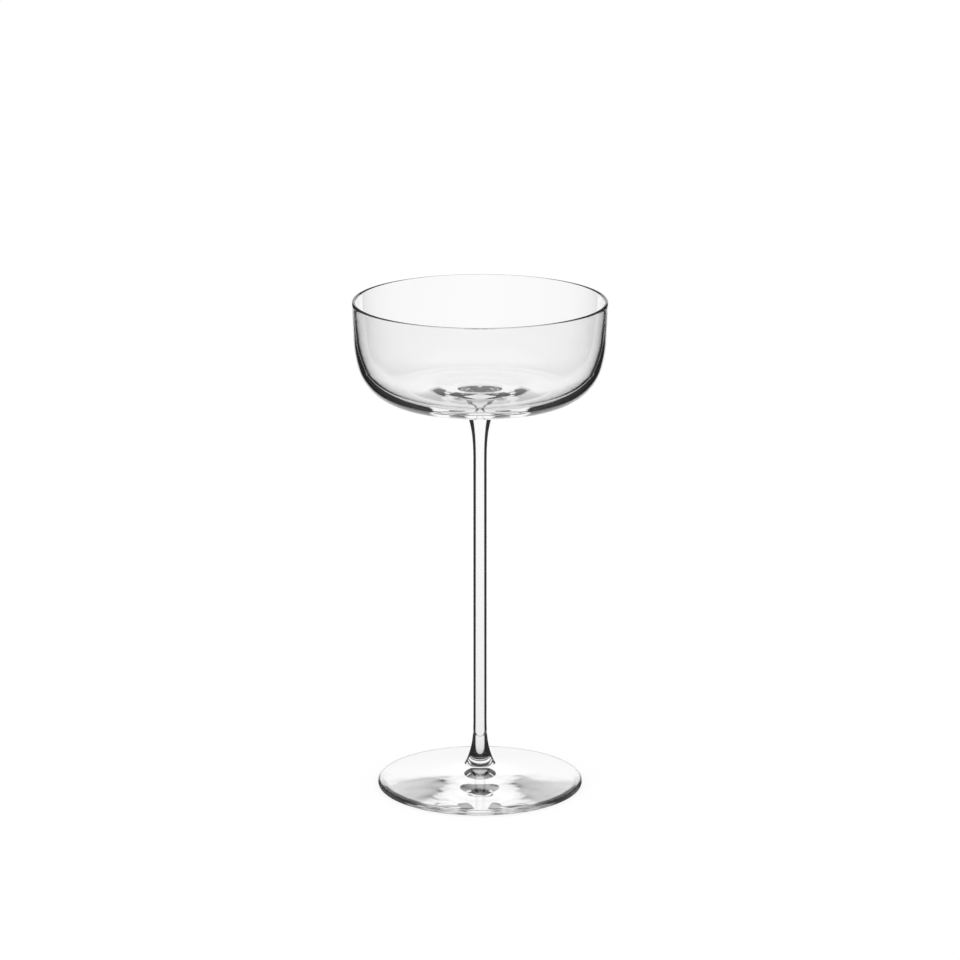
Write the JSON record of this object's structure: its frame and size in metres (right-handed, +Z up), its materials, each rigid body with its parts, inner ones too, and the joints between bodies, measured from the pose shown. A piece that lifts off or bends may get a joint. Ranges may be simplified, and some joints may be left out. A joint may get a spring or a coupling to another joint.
{
  "type": "stemmed coupe glass",
  "caption": "Clear cocktail coupe with a shallow straight-sided bowl, thin lip and heavy base with a low pad under it, on a tall slender stem and a low conical foot with a hollow underside.",
  "frame": {"origin": "centre of the foot on the plane that the glass rests on", "axes": "+Z up along the stem, through the middle of the bowl; the glass is round about it, so X and Y are free"},
  "size_m": [0.0904, 0.0904, 0.179],
  "materials": {
    "clear_glass": "fire-polished clear"
  },
  "bodies": {
    "root": {"bowl": "clear_glass", "stem": "clear_glass", "foot": "clear_glass"}
  },
  "joints": []
}
